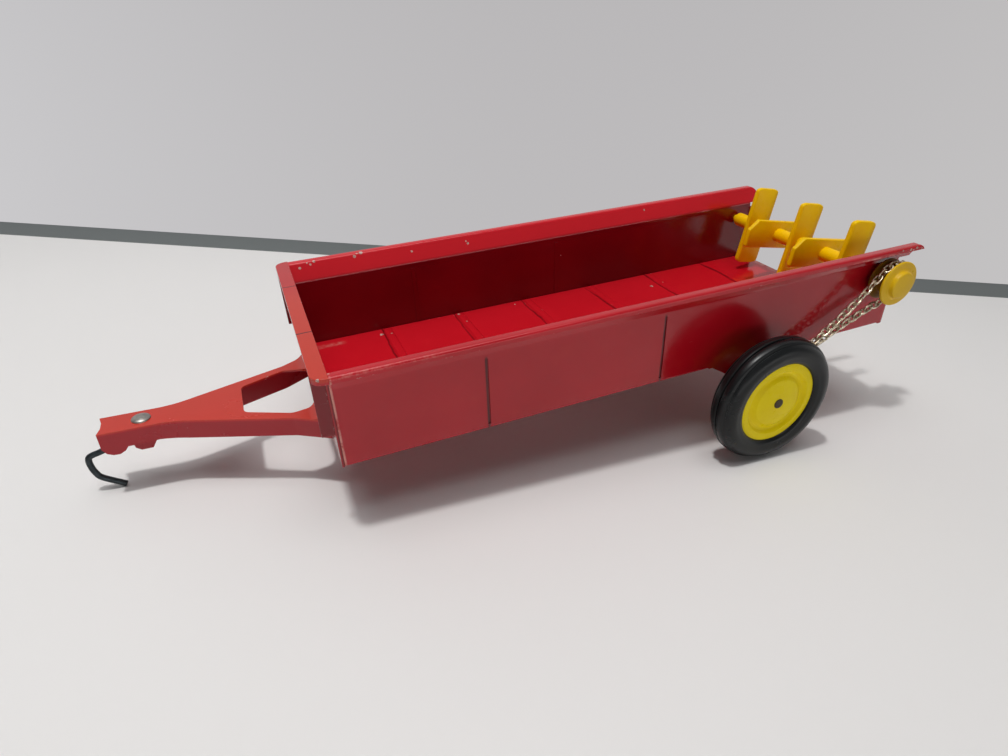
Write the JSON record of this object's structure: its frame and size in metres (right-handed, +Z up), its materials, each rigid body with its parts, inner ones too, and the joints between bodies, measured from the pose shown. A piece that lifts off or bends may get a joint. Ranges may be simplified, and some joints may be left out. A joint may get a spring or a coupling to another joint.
{
  "type": "toy manure spreader",
  "caption": "Pressed-steel toy manure spreader: open flared box on two rubber-tyred wheels, channel drawbar with wire hook, chain-driven paddle beater.",
  "frame": {"origin": "on the ground under the middle of the parked toy's length and width", "axes": "+X rearward along the toy's length, +Y to the machine's right-hand side, +Z up; the hook is at -X"},
  "size_m": [0.3078, 0.1276, 0.0784],
  "materials": {
    "red_paint": "gloss",
    "yellow_paint": "satin",
    "yellow_plastic": "satin",
    "rubber": "matte",
    "bare_steel": "satin",
    "dark_wire": "satin",
    "chain_steel": "satin"
  },
  "bodies": {
    "box": {"side_left": "red_paint", "side_right": "red_paint", "floor_pan": "red_paint", "front_panel": "red_paint", "drawbar": "red_paint", "drawbar_rivet": "bare_steel", "hitch_hook": "dark_wire", "drive_chain": "chain_steel"},
    "running_gear": {"axle": "dark_wire", "wheels": "yellow_paint", "tyres": "rubber", "drive_pulley": "yellow_plastic"},
    "beater_roll": {"beater": "yellow_plastic", "beater_pulley": "yellow_plastic"}
  },
  "joints": [
    {"name": "axle_spin", "type": "hinge", "parent": "box", "child": "running_gear", "pos_m": [0.07689, 0, 0.0246], "axis": [0, 1, 0], "continuous": true},
    {"name": "beater_spin", "type": "hinge", "parent": "box", "child": "beater_roll", "pos_m": [0.13556, 0, 0.06008], "axis": [0, 1, 0], "continuous": true}
  ],
  "couplings": [
    {"joint": "beater_spin", "follows": "axle_spin", "ratio": 1}
  ]
}
